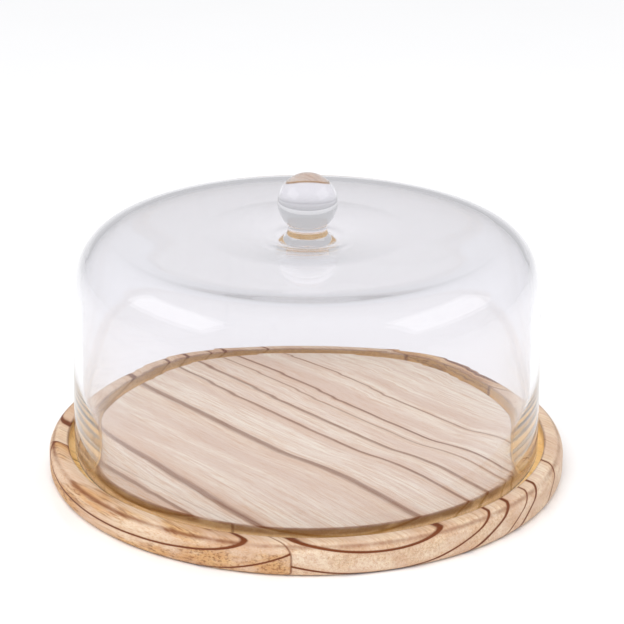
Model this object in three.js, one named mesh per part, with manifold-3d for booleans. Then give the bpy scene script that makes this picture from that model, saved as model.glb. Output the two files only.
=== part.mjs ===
// Cheese dome: a clear glass bell with a ball knob, standing in the ring groove
// of a round board glued up from three paulownia staves.
// Units are millimetres, +Z is up, and the origin is the centre of the board's underside.

import * as THREE from "three";
import { mergeVertices } from "three/addons/utils/BufferGeometryUtils.js";
import Module from "manifold-3d";

// Board
const BOARD_RADIUS = 150;
const BOARD_THICKNESS = 18;
const TOP_EDGE_ROUND = 6.5;
const BOTTOM_EDGE_ROUND = 4;

// Ring groove that keeps the bell centred
const GROOVE_OUTER_RADIUS = 139;
const GROOVE_INNER_RADIUS = 126.2;
const GROOVE_DEPTH = 7;
const GROOVE_CORNER = 1.5;
const GROOVE_LIP = 0.8;

// Staves: glue seams run along the grain, at these distances from the board's centre
const GRAIN_ANGLE = -44;
const SEAM_OFFSETS = [-113, 134];
const SEAM_GAP = 0.3;

// Glass bell: outside radii at the foot and where the shoulder starts
const BELL_FOOT_RADIUS = 135.4;
const BELL_WALL_RADIUS = 133.8;
const BELL_TOP = 141.5;
const REST_GAP = 0.3;

// Glass thickness: heavy at the foot, thinning over this height to the wall
const GLASS = 5;
const FOOT_GLASS = 8;
const FOOT_TAPER = 55;

// Shoulder: tangent arcs from the wall up to the flat top, as radius and sweep in degrees
const SHOULDER_ARCS = [
  { radius: 150, sweep: 5 },
  { radius: 80, sweep: 7 },
  { radius: 50, sweep: 8 },
  { radius: 32, sweep: 10 },
  { radius: 25, sweep: 45 },
  { radius: 12, sweep: 15 },
];

// The top sinks to a flat seat under the knob, and the hot glass sags inwards there as a boss
const SEAT_RADIUS = 18;
const DIMPLE_RADIUS = 60;
const DIMPLE_DEPTH = 5;
const BOSS_RADIUS = 16;
const BOSS_DEPTH = 3;

// Knob: a solid glass ball on a short flared neck
const BALL_RADIUS = 17;
const BALL_CENTRE_HEIGHT = 21.3;
const NECK_FLARE = 6;
const FUSE_GAP = 0.3;

const ROUND_STEPS = 72;
const KNOB_STEPS = 40;
const DEGREE = Math.PI / 180;

const GROOVE_FLOOR = BOARD_THICKNESS - GROOVE_DEPTH;

// Points of an arc in the (radius, height) plane, both ends included
function arc(centreR, centreZ, radius, fromDegrees, toDegrees, steps) {
  const points = [];
  for (let i = 0; i <= steps; i += 1) {
    const angle = (fromDegrees + ((toDegrees - fromDegrees) * i) / steps) * DEGREE;
    const r = centreR + radius * Math.cos(angle);
    const z = centreZ + radius * Math.sin(angle);
    points.push(new THREE.Vector2(Math.max(r, 0), z));
  }
  return points;
}

// A solid of revolution about +Z from an outline that runs upwards on its outside
function revolve(outline, steps) {
  const geometry = new THREE.LatheGeometry(outline, steps);
  geometry.rotateX(Math.PI / 2);
  return geometry;
}

function part(name, geometry, material) {
  const mesh = new THREE.Mesh(geometry, material);
  mesh.name = name;
  return mesh;
}

function glassMaterial(color) {
  return new THREE.MeshStandardMaterial({
    color,
    roughness: 0.04,
    metalness: 0,
    transparent: true,
    opacity: 0.35,
  });
}

function woodMaterial(color) {
  return new THREE.MeshStandardMaterial({ color, roughness: 0.6, metalness: 0 });
}

// Board outline, from the centre of the underside round the edge and over the groove
function boardOutline() {
  const platformEdge = GROOVE_INNER_RADIUS - GROOVE_LIP;
  return [
    new THREE.Vector2(0, 0),
    ...arc(
      BOARD_RADIUS - BOTTOM_EDGE_ROUND, BOTTOM_EDGE_ROUND,
      BOTTOM_EDGE_ROUND, -90, 0, 4,
    ),
    ...arc(
      BOARD_RADIUS - TOP_EDGE_ROUND, BOARD_THICKNESS - TOP_EDGE_ROUND,
      TOP_EDGE_ROUND, 0, 90, 6,
    ),
    ...arc(
      GROOVE_OUTER_RADIUS + GROOVE_LIP, BOARD_THICKNESS - GROOVE_LIP,
      GROOVE_LIP, 90, 180, 2,
    ),
    ...arc(
      GROOVE_OUTER_RADIUS - GROOVE_CORNER, GROOVE_FLOOR + GROOVE_CORNER,
      GROOVE_CORNER, 0, -90, 3,
    ),
    ...arc(
      GROOVE_INNER_RADIUS + GROOVE_CORNER, GROOVE_FLOOR + GROOVE_CORNER,
      GROOVE_CORNER, -90, -180, 3,
    ),
    ...arc(platformEdge, BOARD_THICKNESS - GROOVE_LIP, GROOVE_LIP, 0, 90, 2),
    new THREE.Vector2(0, BOARD_THICKNESS),
  ];
}

// Height of the bell's top at a distance from the axis
function topHeight(r) {
  const reach = (r - SEAT_RADIUS) / (DIMPLE_RADIUS - SEAT_RADIUS);
  const rise = THREE.MathUtils.clamp(reach, 0, 1);
  return BELL_TOP - DIMPLE_DEPTH * 0.5 * (1 + Math.cos(Math.PI * rise));
}

// Height of the top's inner face, which bulges below the knob
function ceilingHeight(r) {
  const boss = BOSS_DEPTH * Math.exp(-((r / BOSS_RADIUS) ** 2));
  return topHeight(r) - GLASS - boss;
}

// Points of the dimpled middle of the top, from the axis outwards
function middle(height) {
  const steps = 12;
  const points = [];
  for (let i = 0; i <= steps; i += 1) {
    const r = (DIMPLE_RADIUS * i) / steps;
    points.push(new THREE.Vector2(r, height(r)));
  }
  return points;
}

// Shoulder of the bell at a depth below the outside skin, from the wall up to the flat top
function shoulder(depth) {
  const height = shoulderHeight();
  const points = [];
  let angle = 0;
  let r = BELL_WALL_RADIUS;
  let z = BELL_TOP - height;
  for (const { radius, sweep } of SHOULDER_ARCS) {
    const centreR = r - radius * Math.cos(angle * DEGREE);
    const centreZ = z - radius * Math.sin(angle * DEGREE);
    const steps = Math.ceil(sweep / 7);
    const run = arc(centreR, centreZ, radius, angle, angle + sweep, steps);
    const inner = arc(centreR, centreZ, radius - depth, angle, angle + sweep, steps);
    points.push(...inner.slice(points.length ? 1 : 0));
    angle += sweep;
    r = run[steps].x;
    z = run[steps].y;
  }
  return points;
}

function shoulderHeight() {
  let angle = 0;
  let height = 0;
  for (const { radius, sweep } of SHOULDER_ARCS) {
    const rise = Math.sin((angle + sweep) * DEGREE) - Math.sin(angle * DEGREE);
    height += radius * rise;
    angle += sweep;
  }
  return height;
}

// Inner face of the wall where it thickens, from the foot upwards
function taperedWall(fromZ) {
  const wallZ = BELL_TOP - shoulderHeight();
  const steps = 5;
  const points = [];
  for (let i = 1; i <= steps; i += 1) {
    const z = fromZ + (FOOT_TAPER * i) / steps;
    const outside = THREE.MathUtils.mapLinear(
      z, fromZ, wallZ, BELL_FOOT_RADIUS, BELL_WALL_RADIUS,
    );
    const thinned = THREE.MathUtils.smoothstep(i / steps, 0, 1);
    const glass = THREE.MathUtils.lerp(FOOT_GLASS, GLASS, thinned);
    points.push(new THREE.Vector2(outside - glass, z));
  }
  return points;
}

// Bell: a shell with a heavy foot, closed there by a rounded rim
function glassBell() {
  const rimRadius = FOOT_GLASS / 2;
  const rimZ = GROOVE_FLOOR + REST_GAP + rimRadius;
  const outline = [
    ...middle(ceilingHeight),
    ...shoulder(GLASS).reverse(),
    ...taperedWall(rimZ).reverse(),
    ...arc(BELL_FOOT_RADIUS - rimRadius, rimZ, rimRadius, -180, 0, 10),
    ...shoulder(0),
    ...middle(topHeight).reverse(),
  ];
  return part("glass_bell", revolve(outline, ROUND_STEPS), glassMaterial(0xe6e8ee));
}

// Knob: the neck's flare is tangent to the ball and to the flat seat
function glassKnob() {
  const seat = topHeight(0);
  const base = seat + FUSE_GAP;
  const ballZ = seat + BALL_CENTRE_HEIGHT;
  const flareZ = base + NECK_FLARE;
  const reach = BALL_RADIUS + NECK_FLARE;
  const flareR = Math.sqrt(reach ** 2 - (ballZ - flareZ) ** 2);
  const tangent = Math.atan2(flareZ - ballZ, flareR) / DEGREE;
  const outline = [
    new THREE.Vector2(0, base),
    ...arc(flareR, flareZ, NECK_FLARE, 270, tangent + 180, 6),
    ...arc(0, ballZ, BALL_RADIUS, tangent, 90, 16).slice(1),
  ];
  return part("glass_knob", revolve(outline, KNOB_STEPS), glassMaterial(0xe9eaef));
}

const wasm = await Module();
wasm.setup();

function toSolid(geometry) {
  const bare = geometry.clone();
  bare.deleteAttribute("normal");
  bare.deleteAttribute("uv");
  const welded = mergeVertices(bare, 1e-4);
  const mesh = new wasm.Mesh({
    numProp: 3,
    vertProperties: new Float32Array(welded.attributes.position.array),
    triVerts: new Uint32Array(welded.index.array),
  });
  return new wasm.Manifold(mesh);
}

function toGeometry(solid) {
  const mesh = solid.getMesh();
  const geometry = new THREE.BufferGeometry();
  geometry.setAttribute("position", new THREE.BufferAttribute(mesh.vertProperties, 3));
  geometry.setIndex(new THREE.BufferAttribute(mesh.triVerts, 1));
  const flat = geometry.toNonIndexed();
  flat.computeVertexNormals();
  return flat;
}

// The slab of space one stave fills, between two distances across the grain
function staveSlab(from, to) {
  const length = 2.5 * BOARD_RADIUS;
  const slab = new THREE.BoxGeometry(length, to - from, 4 * BOARD_THICKNESS);
  slab.translate(0, (from + to) / 2, 0);
  slab.rotateZ(GRAIN_ANGLE * DEGREE);
  return toSolid(slab);
}

// Three staves cut from the turned board, a glue line apart
function boardStaves() {
  const board = toSolid(revolve(boardOutline(), ROUND_STEPS));
  const beyond = 1.2 * BOARD_RADIUS;
  const half = SEAM_GAP / 2;
  const [front, back] = SEAM_OFFSETS;
  const staves = [
    { name: "stave_front", from: -beyond, to: front - half, color: 0xd9b48c },
    { name: "stave_middle", from: front + half, to: back - half, color: 0xdec3a4 },
    { name: "stave_back", from: back + half, to: beyond, color: 0xd6b088 },
  ];
  return staves.map(({ name, from, to, color }) => {
    const stave = board.intersect(staveSlab(from, to));
    return part(name, toGeometry(stave), woodMaterial(color));
  });
}

const group = new THREE.Group();
group.name = "cheese_dome";
group.add(...boardStaves(), glassBell(), glassKnob());

export default group;
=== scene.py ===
import math

import bmesh
import bpy
from mathutils import Matrix, Vector


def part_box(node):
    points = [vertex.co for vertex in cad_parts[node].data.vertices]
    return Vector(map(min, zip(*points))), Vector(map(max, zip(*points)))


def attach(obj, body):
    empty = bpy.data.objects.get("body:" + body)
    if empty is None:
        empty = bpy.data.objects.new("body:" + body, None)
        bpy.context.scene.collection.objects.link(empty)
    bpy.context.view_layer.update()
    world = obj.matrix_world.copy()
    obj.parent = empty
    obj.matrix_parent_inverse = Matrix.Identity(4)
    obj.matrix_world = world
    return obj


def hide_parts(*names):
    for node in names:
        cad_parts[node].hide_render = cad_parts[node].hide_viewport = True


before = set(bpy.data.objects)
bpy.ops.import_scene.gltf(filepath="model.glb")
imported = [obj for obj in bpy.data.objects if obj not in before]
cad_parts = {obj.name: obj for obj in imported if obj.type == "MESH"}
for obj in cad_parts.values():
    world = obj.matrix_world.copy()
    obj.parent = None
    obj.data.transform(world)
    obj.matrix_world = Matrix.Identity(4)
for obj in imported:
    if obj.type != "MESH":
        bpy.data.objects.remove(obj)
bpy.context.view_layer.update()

MM = 0.001

# ---------------------------------------------------------------- sizes taken from the frame
board_low, board_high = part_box("stave_middle")
bell_low, bell_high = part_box("glass_bell")
knob_low, knob_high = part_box("glass_knob")

BOARD_RADIUS = board_high.x / MM
BOARD_TOP = board_high.z / MM
FOOT_Z = bell_low.z / MM
FOOT_RADIUS = bell_high.x / MM
BELL_TOP = bell_high.z / MM
KNOB_TOP = knob_high.z / MM
FUSE_GAP = 0.3
SEAT_Z = knob_low.z / MM - FUSE_GAP

# ---------------------------------------------------------------- glass
WALL_LEAN = 1.6
WALL_RADIUS = FOOT_RADIUS - WALL_LEAN

# Tangent arcs from the wall up to the flat top, as radius and sweep in degrees
SHOULDER_ARCS = ((150, 5), (80, 7), (50, 8), (32, 10), (25, 42), (26, 10), (50, 5), (100, 3))

# Thickness of the glass, which thins from the foot up to a height on the wall
FOOT_GLASS = 8.0
WALL_GLASS = 5.2
SHOULDER_GLASS = 5.7
TOP_GLASS = 5.6
TAPER_TOP_Z = 62.0

# Knob, the dimple it stands in, and the boss the hot glass left under it
BALL_RADIUS = 17.0
NECK_FILLET = 6.0
NECK_BLEND = 4.0
DIMPLE_RADIUS = 60.0
BOSS_RADIUS = 16.0
BOSS_DEPTH = 3.0

# How finely the glass is turned, and divided along its outline
GLASS_STEPS = 256
WALL_STEPS = 40
TOP_STEPS = 48

# ---------------------------------------------------------------- board
TOP_EDGE_ROUND = 6.5
BOTTOM_EDGE_ROUND = 4.0
GROOVE_OUTER_RADIUS = 139.0
GROOVE_INNER_RADIUS = 126.2
GROOVE_DEPTH = 7.0
GROOVE_CORNER = 1.5
GROOVE_LIP = 0.8

# Glue seams and growth lines, in degrees from +X, and the seams' distances from the board's centre
SEAM_ANGLE = -44.0
GROWTH_ANGLE = -48.0
SEAM_GAP = 0.10
SEAM_OFFSETS = (-113.0, 134.0)
BOARD_STEPS = 360

# ---------------------------------------------------------------- camera, in metres and degrees
CAMERA_DISTANCE = 1.2
CAMERA_HEIGHT_ANGLE = 24.65
CAMERA_PITCH = 20.54
CAMERA_YAW = 0.15
CAMERA_ROLL = 0.35
CAMERA_LENS = 116.93


def make_camera():
    """Camera in front of the board and above it, a little tilted, looking over the board's centre."""
    height = math.radians(CAMERA_HEIGHT_ANGLE)
    pitch, yaw, roll = (math.radians(a) for a in (CAMERA_PITCH, CAMERA_YAW, CAMERA_ROLL))
    place = Vector((0, -math.cos(height), math.sin(height))) * CAMERA_DISTANCE
    ahead = Vector((math.sin(yaw) * math.cos(pitch), math.cos(yaw) * math.cos(pitch), -math.sin(pitch)))
    level = Vector((math.cos(yaw), -math.sin(yaw), 0))
    above = level.cross(ahead)
    right = math.cos(roll) * level + math.sin(roll) * above
    up = math.cos(roll) * above - math.sin(roll) * level
    data = bpy.data.cameras.new("camera")
    data.sensor_width = 36
    data.lens = CAMERA_LENS
    camera = bpy.data.objects.new("camera", data)
    bpy.context.scene.collection.objects.link(camera)
    camera.matrix_world = Matrix((
        (right.x, up.x, -ahead.x, place.x),
        (right.y, up.y, -ahead.y, place.y),
        (right.z, up.z, -ahead.z, place.z),
        (0, 0, 0, 1),
    ))
    bpy.context.scene.camera = camera


make_camera()


# ---------------------------------------------------------------- mesh helpers
def arc(centre_r, centre_z, radius, start, end, steps):
    """Points of an arc in the (radius, height) plane, both ends included, angles in degrees."""
    points = []
    for i in range(steps + 1):
        angle = math.radians(start + (end - start) * i / steps)
        points.append((max(centre_r + radius * math.cos(angle), 0.0), centre_z + radius * math.sin(angle)))
    return points


def smooth(value):
    """Smooth step from 0 to 1."""
    value = min(max(value, 0.0), 1.0)
    return value * value * (3 - 2 * value)


def lathe(outline, steps):
    """bmesh of an outline in millimetres turned round Z. The outline starts and ends on the axis."""
    mesh = bmesh.new()
    rings = []
    for r, z in outline:
        if r < 1e-6:
            rings.append([mesh.verts.new((0, 0, z * MM))] * steps)
            continue
        ring = []
        for k in range(steps):
            angle = 2 * math.pi * k / steps
            ring.append(mesh.verts.new((r * math.cos(angle) * MM, r * math.sin(angle) * MM, z * MM)))
        rings.append(ring)
    for lower, upper in zip(rings, rings[1:]):
        for k in range(steps):
            n = (k + 1) % steps
            corners = list(dict.fromkeys((lower[k], lower[n], upper[n], upper[k])))
            mesh.faces.new(corners)
    bmesh.ops.recalc_face_normals(mesh, faces=mesh.faces)
    return mesh


def make_object(name, mesh, sharp_angle=30):
    """Object from a bmesh, smooth shaded except across edges sharper than the angle."""
    for edge in mesh.edges:
        if len(edge.link_faces) == 2:
            edge.smooth = edge.calc_face_angle() < math.radians(sharp_angle)
    for face in mesh.faces:
        face.smooth = True
    data = bpy.data.meshes.new(name)
    mesh.to_mesh(data)
    mesh.free()
    made = bpy.data.objects.new(name, data)
    bpy.context.scene.collection.objects.link(made)
    return made


# ---------------------------------------------------------------- glass
def smooth_cosine(value):
    """Cosine step from 0 to 1."""
    return 0.5 - 0.5 * math.cos(math.pi * min(max(value, 0.0), 1.0))


def top_z(r):
    """Height of the outside of the top, which dips round the knob."""
    reach = smooth_cosine(r / DIMPLE_RADIUS)
    return BELL_TOP - (BELL_TOP - SEAT_Z) * (1 - reach)


def shoulder(thickness):
    """Tangent arcs from the wall up to the flat top, moved in by the glass thickness at each slope."""
    height = 0.0
    slope = 0
    for radius, sweep in SHOULDER_ARCS:
        height += radius * (math.sin(math.radians(slope + sweep)) - math.sin(math.radians(slope)))
        slope += sweep
    r, z, slope = WALL_RADIUS, BELL_TOP - height, 0.0
    points = [(r - thickness(0.0), z)]
    for radius, sweep in SHOULDER_ARCS:
        steps = max(3, int(sweep / 2))
        centre_r = r - radius * math.cos(math.radians(slope))
        centre_z = z - radius * math.sin(math.radians(slope))
        for i in range(1, steps + 1):
            angle = slope + sweep * i / steps
            inset = radius - thickness(angle)
            points.append((
                centre_r + inset * math.cos(math.radians(angle)),
                centre_z + inset * math.sin(math.radians(angle)),
            ))
        slope += sweep
        r = centre_r + radius * math.cos(math.radians(slope))
        z = centre_z + radius * math.sin(math.radians(slope))
    return points


def shoulder_glass(slope):
    """Glass thickness at a slope of the shoulder: a little thicker where the wall turns over."""
    rise = smooth((slope - 5) / 35)
    fall = smooth((slope - 55) / 35)
    return WALL_GLASS + (SHOULDER_GLASS - WALL_GLASS) * rise + (TOP_GLASS - SHOULDER_GLASS) * fall


def ball_and_neck():
    """Outside of the knob from the top of the ball to the seat, with the neck's fillet tangent to both."""
    ball_z = KNOB_TOP - BALL_RADIUS
    fillet_z = SEAT_Z + NECK_FILLET
    reach = BALL_RADIUS + NECK_FILLET
    fillet_r = math.sqrt(reach ** 2 - (ball_z - fillet_z) ** 2)
    tangent = math.degrees(math.atan2(fillet_z - ball_z, fillet_r))
    ball = arc(0, ball_z, BALL_RADIUS, 90, tangent, 64)
    neck = arc(fillet_r, fillet_z, NECK_FILLET, tangent + 180, 270, 20)
    return ball + neck[1:]


def glass_outline():
    """Outside from the ball down to the foot, then the inside back up to the axis."""
    outside = shoulder(lambda slope: 0.0)
    inside = shoulder(shoulder_glass)
    edge_r = outside[-1][0]
    wall_z = outside[0][1]
    rim = FOOT_GLASS / 2
    rim_z = FOOT_Z + rim
    knob = ball_and_neck()
    neck_r = knob[-1][0]
    lift = knob[-1][1] - top_z(neck_r)
    top = []
    for i in range(1, TOP_STEPS + 1):
        r = neck_r + (edge_r - neck_r) * i / TOP_STEPS
        top.append((r, top_z(r) + lift * math.exp(-(((r - neck_r) / NECK_BLEND) ** 2))))
    wall = []
    for i in range(1, WALL_STEPS):
        z = rim_z + (wall_z - rim_z) * i / WALL_STEPS
        outer = FOOT_RADIUS + (WALL_RADIUS - FOOT_RADIUS) * (z - rim_z) / (wall_z - rim_z)
        thick = smooth((TAPER_TOP_Z - z) / (TAPER_TOP_Z - rim_z))
        wall.append((outer, z, WALL_GLASS + (FOOT_GLASS - WALL_GLASS) * thick))
    ceiling = []
    inner_r = inside[-1][0]
    for i in range(1, TOP_STEPS + 1):
        r = inner_r * (1 - i / TOP_STEPS)
        boss = BOSS_DEPTH * math.exp(-((r / BOSS_RADIUS) ** 2))
        ceiling.append((r, top_z(r) - TOP_GLASS - boss))
    return (
        knob + top + outside[::-1][1:]
        + [(r, z) for r, z, _ in wall[::-1]]
        + arc(FOOT_RADIUS - rim, rim_z, rim, 0, -180, 24)
        + [(r - thick, z) for r, z, thick in wall]
        + inside + ceiling
    )


def glass_material():
    """Clear soda glass with the faintest cool tint, a little uneven as melted glass is."""
    material = bpy.data.materials.new("clear_glass")
    material.use_nodes = True
    nodes, links = material.node_tree.nodes, material.node_tree.links
    shader = nodes["Principled BSDF"]
    shader.inputs["Roughness"].default_value = 0.0
    shader.inputs["Transmission Weight"].default_value = 1.0
    shader.inputs["IOR"].default_value = 1.5
    place = nodes.new("ShaderNodeTexCoord")
    cords = nodes.new("ShaderNodeTexNoise")
    cords.inputs["Scale"].default_value = 9.0
    cords.inputs["Detail"].default_value = 1.0
    links.new(place.outputs["Object"], cords.inputs["Vector"])
    tint = nodes.new("ShaderNodeValToRGB")
    tint.color_ramp.elements[0].color = (0.918, 0.915, 0.938, 1)
    tint.color_ramp.elements[1].color = (0.930, 0.927, 0.950, 1)
    links.new(cords.outputs["Fac"], tint.inputs["Fac"])
    links.new(tint.outputs["Color"], shader.inputs["Base Color"])
    return material


def make_glass():
    """Bell and knob as one fused piece. It casts no shadow, so the board stays clear under it."""
    glass = make_object("dome_glass", lathe(glass_outline(), GLASS_STEPS), 60)
    glass.data.materials.append(glass_material())
    glass.visible_shadow = False
    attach(glass, "dome")
    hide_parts("glass_bell", "glass_knob")


# ---------------------------------------------------------------- wood
def board_outline():
    """From the centre of the underside round the edge, over the groove, to the centre of the top."""
    floor = BOARD_TOP - GROOVE_DEPTH
    return (
        [(0, 0), (BOARD_RADIUS * 0.5, 0)]
        + arc(BOARD_RADIUS - BOTTOM_EDGE_ROUND, BOTTOM_EDGE_ROUND, BOTTOM_EDGE_ROUND, -90, 0, 10)
        + arc(BOARD_RADIUS - TOP_EDGE_ROUND, BOARD_TOP - TOP_EDGE_ROUND, TOP_EDGE_ROUND, 0, 90, 16)
        + arc(GROOVE_OUTER_RADIUS + GROOVE_LIP, BOARD_TOP - GROOVE_LIP, GROOVE_LIP, 90, 180, 6)
        + arc(GROOVE_OUTER_RADIUS - GROOVE_CORNER, floor + GROOVE_CORNER, GROOVE_CORNER, 0, -90, 6)
        + arc(GROOVE_INNER_RADIUS + GROOVE_CORNER, floor + GROOVE_CORNER, GROOVE_CORNER, -90, -180, 6)
        + arc(GROOVE_INNER_RADIUS - GROOVE_LIP, BOARD_TOP - GROOVE_LIP, GROOVE_LIP, 0, 90, 6)
        + [(BOARD_RADIUS * 0.5, BOARD_TOP), (0, BOARD_TOP)]
    )


def across():
    """Unit vector across the grain, from the front stave towards the back one."""
    angle = math.radians(SEAM_ANGLE + 90)
    return Vector((math.cos(angle), math.sin(angle), 0))


def cut(mesh, offset, keep_front):
    """Cuts the mesh along a glue seam, closes the cut, and keeps one side."""
    normal = across()
    result = bmesh.ops.bisect_plane(
        mesh, geom=mesh.verts[:] + mesh.edges[:] + mesh.faces[:], dist=1e-7,
        plane_co=normal * offset * MM, plane_no=normal,
        clear_outer=keep_front, clear_inner=not keep_front,
    )
    edges = [e for e in result["geom_cut"] if isinstance(e, bmesh.types.BMEdge)]
    bmesh.ops.holes_fill(mesh, edges=edges, sides=0)
    bmesh.ops.recalc_face_normals(mesh, faces=mesh.faces)


class Nodes:
    """Short calls for building one material's node tree."""

    STEP_SOCKETS = ("From Min", "From Max", "To Min", "To Max")

    def __init__(self, name):
        self.material = bpy.data.materials.new(name)
        self.material.use_nodes = True
        self.tree = self.material.node_tree
        self.shader = self.tree.nodes["Principled BSDF"]

    def put(self, socket, value):
        if isinstance(value, bpy.types.NodeSocket):
            self.tree.links.new(value, socket)
        else:
            socket.default_value = value

    def math(self, operation, a, b=None, c=None):
        node = self.tree.nodes.new("ShaderNodeMath")
        node.operation = operation
        for socket, value in zip(node.inputs, (a, b, c)):
            if value is not None:
                self.put(socket, value)
        return node.outputs[0]

    def length(self, a, b):
        return self.math("SQRT", self.math("ADD", self.math("MULTIPLY", a, a), self.math("MULTIPLY", b, b)))

    def combine(self, x, y, z):
        node = self.tree.nodes.new("ShaderNodeCombineXYZ")
        for socket, value in zip(node.inputs, (x, y, z)):
            self.put(socket, value)
        return node.outputs[0]

    def noise(self, vector, scale, detail=2.0, roughness=0.5):
        node = self.tree.nodes.new("ShaderNodeTexNoise")
        self.put(node.inputs["Vector"], vector)
        node.inputs["Scale"].default_value = scale
        node.inputs["Detail"].default_value = detail
        node.inputs["Roughness"].default_value = roughness
        return node.outputs["Fac"]

    def step(self, value, low, high, from_value=0.0, to_value=1.0):
        node = self.tree.nodes.new("ShaderNodeMapRange")
        node.interpolation_type = "SMOOTHSTEP"
        self.put(node.inputs["Value"], value)
        for name, number in zip(self.STEP_SOCKETS, (low, high, from_value, to_value)):
            node.inputs[name].default_value = number
        return node.outputs["Result"]

    def mix(self, factor, a, b, blend="MIX"):
        node = self.tree.nodes.new("ShaderNodeMix")
        node.data_type = "RGBA"
        node.blend_type = blend
        self.put(node.inputs[0], factor)
        for socket, value in ((node.inputs[6], a), (node.inputs[7], b)):
            self.put(socket, (*value, 1) if isinstance(value, tuple) and len(value) == 3 else value)
        return node.outputs[2]


def srgb(red, green, blue):
    """Linear colour from 0 to 255 display values."""
    def linear(value):
        value /= 255
        return value / 12.92 if value <= 0.04045 else ((value + 0.055) / 1.055) ** 2.4
    return tuple(linear(v) for v in (red, green, blue))


# Wood colours: earlywood from pale to pink, vessels, the handled rim, toasted wood, painted shade in the
# groove, and scorch
CREAM = srgb(240, 227, 210)
PINK = srgb(220, 194, 176)
VESSEL = srgb(204, 154, 108)
TANNED = srgb(244, 238, 230)
GOLD = srgb(240, 210, 160)
# Amber for the painted shade in the groove
GROOVE_SHADE_AMBER = srgb(252, 206, 120)
SCORCH = srgb(116, 60, 24)

# Growth lines of each stave: where they surface across the grain, width and strength.
# Each is a cylinder round the tree's pith, so the same line shows on top, in the groove and down the side.
MIDDLE_LINES = (
    (73.0, 1.1, 0.70), (46.0, 1.3, 0.88), (36.0, 0.9, 0.62), (18.5, 1.4, 0.80), (3.0, 1.0, 0.82),
    (-29.5, 1.2, 0.80),
)
FRONT_LINES = ((-119.0, 1.1, 0.75), (-100.0, 0.9, 0.80), (-82.0, 1.0, 0.70))
BACK_LINES = ((142.0, 0.9, 0.6), (128.0, 0.8, 0.6), (112.0, 0.9, 0.6))


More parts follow.
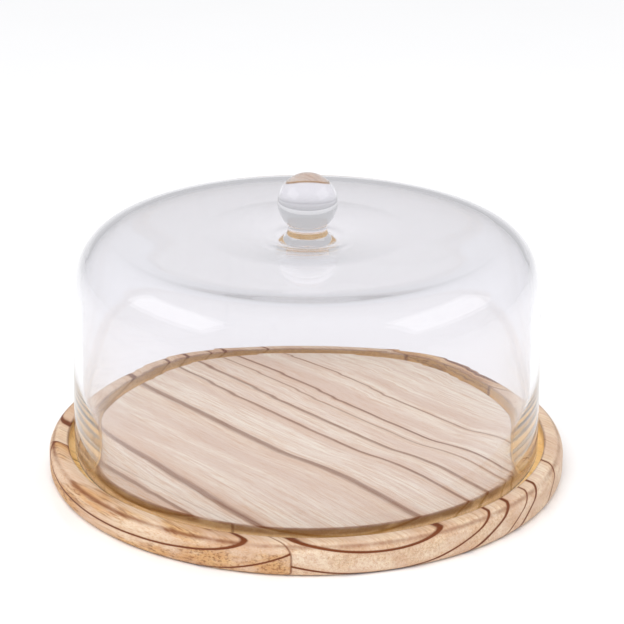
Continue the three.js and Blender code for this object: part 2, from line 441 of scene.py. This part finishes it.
def wood_material(name, lines, pith, wander_by, shift, burn):
    """Paulownia with scorched growth lines, toasted where the torch caught the rim, with painted shade in
    the groove.

    pith is where the tree's heart lies, across the grain and above the top. wander_by is how far
    lines stray, shift moves the figure so that no two staves match, and burn is the torch's strength.
    """
    n = Nodes(name)
    place = n.tree.nodes.new("ShaderNodeTexCoord").outputs["Object"]
    turn = n.tree.nodes.new("ShaderNodeMapping")
    turn.inputs["Rotation"].default_value = (0, 0, math.radians(-GROWTH_ANGLE))
    turn.inputs["Scale"].default_value = (1 / MM, 1 / MM, 1 / MM)
    n.put(turn.inputs["Vector"], place)
    split = n.tree.nodes.new("ShaderNodeSeparateXYZ")
    n.put(split.inputs[0], turn.outputs[0])
    along, over, high = split.outputs
    depth = n.math("SUBTRACT", BOARD_TOP, high)
    radius = n.length(along, over)
    outside = n.step(radius, GROOVE_INNER_RADIUS - 1.0, GROOVE_INNER_RADIUS + 0.5)

    def figure(per_along, per_over, per_high, detail=2.0, roughness=0.5, extra=0.0):
        """Noise in the wood, by how much it varies along, across and up in each millimetre."""
        vector = n.combine(
            n.math("MULTIPLY", along, per_along), n.math("MULTIPLY", strayed, per_over),
            n.math("MULTIPLY_ADD", high, per_high, shift + extra),
        )
        return n.noise(vector, 1.0, detail, roughness)

    # Growth radius, with a slow wander along the grain
    strayed = over
    slow = figure(0.009, 0.010, 0.010, 1.0)
    quick = figure(0.045, 0.02, 0.02, 2.0, extra=3.0)
    wander = n.math("ADD", n.math("MULTIPLY", n.math("SUBTRACT", slow, 0.5), wander_by),
                    n.math("MULTIPLY", n.math("SUBTRACT", quick, 0.5), wander_by * 0.35))
    strayed = n.math("ADD", over, wander)
    pith_over, pith_high = pith
    sideways = n.math("SUBTRACT", strayed, pith_over)
    downwards = n.math("ADD", depth, pith_high)
    growth = n.length(sideways, downwards)

    # Earlywood: broad tone, fine streaks and short vessel flecks, all drawn out along the grain
    broad = figure(0.006, 0.07, 0.07, 2.0, extra=7.0)
    streaks = figure(0.022, 0.55, 0.55, 3.0, 0.62)
    fine = figure(0.05, 1.7, 1.7, 3.0, 0.65, 13.0)
    fleck = figure(0.13, 2.6, 2.6, 2.0, 0.7, 19.0)
    colour = n.mix(n.step(broad, 0.36, 0.70, 0.0, 0.85), CREAM, PINK)
    colour = n.mix(n.step(streaks, 0.42, 0.68, 0.0, 0.85), colour, PINK)
    colour = n.mix(n.step(fine, 0.47, 0.70, 0.0, 0.60), colour, VESSEL)
    colour = n.mix(n.step(fleck, 0.58, 0.74, 0.0, 0.65), colour, VESSEL)

    # Growth lines: latewood darkening up to a scorched line that ends sharply
    grainy = n.step(fine, 0.25, 0.75, 0.70, 1.0)
    dark, latewood = 0.0, 0.0
    for surface, width, strength in lines:
        ring = math.hypot(surface - pith_over, pith_high)
        gap = n.math("SUBTRACT", growth, ring)
        rise = n.step(gap, -width, -width * 0.2)
        fall = n.step(gap, width * 0.1, width * 0.6, 1.0, 0.0)
        dark = n.math("MAXIMUM", dark, n.math("MULTIPLY", n.math("MULTIPLY", rise, fall), strength))
        swell = n.math("MULTIPLY", n.step(gap, -width * 4, 0.0), n.step(gap, 0.0, width * 1.6, 0.5, 0.0))
        latewood = n.math("MAXIMUM", latewood, swell)
    dark = n.math("MULTIPLY", n.math("MULTIPLY", dark, grainy), n.math("MULTIPLY_ADD", outside, 0.9, 1.0))
    colour = n.mix(n.math("MULTIPLY", latewood, 0.55), colour, VESSEL)
    colour = n.mix(dark, colour, SCORCH)

    # Torch work: golden on the rim and the side, bare on the platform. The groove gets painted shade, an
    # amber darkening below its top edge
    patch = figure(0.018, 0.055, 0.10, 3.0, 0.6, 23.0)
    colour = n.mix(outside, colour, n.mix(1.0, colour, TANNED, "MULTIPLY"))
    toast = n.math("MULTIPLY", outside, n.step(patch, 0.38, 0.62, 0.2 * burn, burn))
    colour = n.mix(toast, colour, n.mix(1.0, colour, GOLD, "MULTIPLY"))
    # Painted shade: the groove's walls and floor turn amber below the groove's top edge
    in_groove = n.step(radius, GROOVE_OUTER_RADIUS - 0.2, GROOVE_OUTER_RADIUS + 0.6, 1.0, 0.0)
    groove_shade = n.math("MULTIPLY", n.math("MULTIPLY", outside, in_groove), n.step(depth, 0.3, 1.5))
    colour = n.mix(n.math("MULTIPLY", groove_shade, 0.65), colour, GROOVE_SHADE_AMBER)
    singe = figure(0.028, 0.75, 0.75, 4.0, 0.7, 29.0)
    scorched = n.math("MULTIPLY", n.step(singe, 0.46, 0.64), n.step(patch, 0.38, 0.56))
    colour = n.mix(n.math("MULTIPLY", n.math("MULTIPLY", scorched, outside), 0.75 * burn), colour, SCORCH)

    def band(centre, width, strength):
        """A dark ring round the board's centre, fading to both sides, used for scorch and for painted
        shade.
        """
        gap = n.math("ABSOLUTE", n.math("SUBTRACT", radius, centre))
        return n.math("MULTIPLY", n.step(gap, 0.0, width, 1.0, 0.0), strength)

    # Painted shade: a dark line along the platform's top edge beside the groove. Scorch rings run along the
    # groove's outer edge and the board's edge
    groove_edge_shade_and_scorch = n.math(
        "MAXIMUM", band(GROOVE_INNER_RADIUS - 0.2, 1.1, 0.70), band(GROOVE_OUTER_RADIUS + 0.4, 1.0, 0.5),
    )
    corners = n.math("MAXIMUM", groove_edge_shade_and_scorch, band(BOARD_RADIUS - 2.4, 1.7, 0.35 + 0.5 * burn))
    corners = n.math("MULTIPLY", corners, n.step(depth, 3.0, 5.0, 1.0, 0.0))
    colour = n.mix(n.math("MULTIPLY", corners, n.step(patch, 0.30, 0.54, 0.35, 1.0)), colour, SCORCH)

    # Glue lines, darker where the rim is scorched
    tilt = math.radians(SEAM_ANGLE - GROWTH_ANGLE)
    across_seam = n.math(
        "ADD", n.math("MULTIPLY", over, math.cos(tilt)), n.math("MULTIPLY", along, -math.sin(tilt)),
    )
    glue_strength = n.math("MULTIPLY_ADD", outside, 0.9, 0.3)
    for offset in SEAM_OFFSETS:
        gap = n.math("ABSOLUTE", n.math("SUBTRACT", across_seam, offset))
        glue = n.math("MULTIPLY", n.step(gap, 0.15, 0.60, 0.55, 0.0), glue_strength)
        colour = n.mix(glue, colour, SCORCH)

    # Sheen, and relief from the pores and the growth lines
    n.put(n.shader.inputs["Base Color"], colour)
    n.put(n.shader.inputs["Roughness"], n.step(fine, 0.3, 0.7, 0.60, 0.48))
    n.shader.inputs["Specular IOR Level"].default_value = 0.35
    bump = n.tree.nodes.new("ShaderNodeBump")
    bump.inputs["Strength"].default_value = 0.4
    bump.inputs["Distance"].default_value = 0.25 * MM
    pores = n.math("MULTIPLY_ADD", n.step(fleck, 0.58, 0.78), -0.6, fine)
    n.put(bump.inputs["Height"], n.math("MULTIPLY_ADD", dark, 0.5, pores))
    n.put(n.shader.inputs["Normal"], bump.outputs[0])
    return n.material


def make_staves():
    """Three staves cut from the turned board, each with its own pith, wander, figure and scorching."""
    front, back = SEAM_OFFSETS
    half = SEAM_GAP / 2
    staves = (
        ("front", None, front - half, FRONT_LINES, (-160.0, 75.0), 9.0, 21.0, 0.9),
        ("middle", front + half, back - half, MIDDLE_LINES, (-65.0, 120.0), 4.0, 0.0, 0.3),
        ("back", back + half, None, BACK_LINES, (175.0, 75.0), 7.0, 43.0, 0.9),
    )
    for name, start, end, lines, pith, wander_by, shift, burn in staves:
        mesh = lathe(board_outline(), BOARD_STEPS)
        if start is not None:
            cut(mesh, start, False)
        if end is not None:
            cut(mesh, end, True)
        stave = make_object("board_" + name, mesh, 40)
        wood = wood_material("paulownia_" + name, lines, pith, wander_by, shift, burn)
        stave.data.materials.append(wood)
        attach(stave, "board")
        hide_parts("stave_" + name)


# ---------------------------------------------------------------- studio, in metres
FLOOR_SIZE = 60.0
LIT_POINT = (0, 0, 0.05)
SOFTBOX_POWER = 7
CEILING_STRENGTH = 1.9
SURROUND_STRENGTH = 0.60
GLASS_BOUNCES = 64


def make_floor():
    """Large pale floor with a faint gloss, so the board is mirrored softly in it."""
    half = FLOOR_SIZE / 2
    corners = [(-half, -half, 0), (half, -half, 0), (half, half, 0), (-half, half, 0)]
    data = bpy.data.meshes.new("floor")
    data.from_pydata(corners, [], [(0, 1, 2, 3)])
    floor = bpy.data.objects.new("floor", data)
    bpy.context.scene.collection.objects.link(floor)
    n = Nodes("studio_floor")
    place = n.tree.nodes.new("ShaderNodeTexCoord").outputs["Object"]
    grain = n.noise(place, 6.0, 2.0)
    n.put(n.shader.inputs["Base Color"], n.mix(grain, (0.94, 0.94, 0.94), (0.96, 0.96, 0.96)))
    n.shader.inputs["Roughness"].default_value = 0.12
    n.shader.inputs["Specular IOR Level"].default_value = 0.5
    data.materials.append(n.material)


def softbox(name, place, width, height, power):
    """Rectangular light turned towards the object."""
    light = bpy.data.lights.new(name, "AREA")
    light.shape = "RECTANGLE"
    light.size = width
    light.size_y = height
    light.energy = power
    made = bpy.data.objects.new(name, light)
    bpy.context.scene.collection.objects.link(made)
    made.location = place
    aim = Vector(LIT_POINT) - Vector(place)
    made.rotation_euler = aim.to_track_quat("-Z", "Y").to_euler()


def make_lights():
    """Two softboxes that show in the glass, a broad ceiling light that doesn't, and a pale surround."""
    softbox("softbox_left", (-1.75, -0.45, 1.35), 1.9, 1.0, SOFTBOX_POWER)
    softbox("softbox_right", (1.7, -0.35, 1.3), 1.9, 1.1, SOFTBOX_POWER)
    sun = bpy.data.lights.new("ceiling", "SUN")
    sun.energy = CEILING_STRENGTH
    sun.angle = math.radians(60)
    ceiling = bpy.data.objects.new("ceiling", sun)
    ceiling.rotation_euler = (math.radians(25), math.radians(-12), 0)
    ceiling.visible_glossy = False
    ceiling.visible_transmission = False
    bpy.context.scene.collection.objects.link(ceiling)
    world = bpy.data.worlds.new("studio")
    world.use_nodes = True
    back = world.node_tree.nodes["Background"]
    back.inputs["Color"].default_value = (0.98, 0.98, 1, 1)
    back.inputs["Strength"].default_value = SURROUND_STRENGTH
    bpy.context.scene.world = world


def set_light_paths():
    """Light travels a long way inside the glass, so its paths are let run until they leave it."""
    cycles = bpy.context.scene.cycles
    cycles.max_bounces = GLASS_BOUNCES
    cycles.glossy_bounces = GLASS_BOUNCES
    cycles.transmission_bounces = GLASS_BOUNCES
    cycles.diffuse_bounces = 5
    cycles.caustics_reflective = False


make_floor()
make_lights()
make_glass()
make_staves()
bpy.context.scene.view_settings.view_transform = "Standard"
set_light_paths()
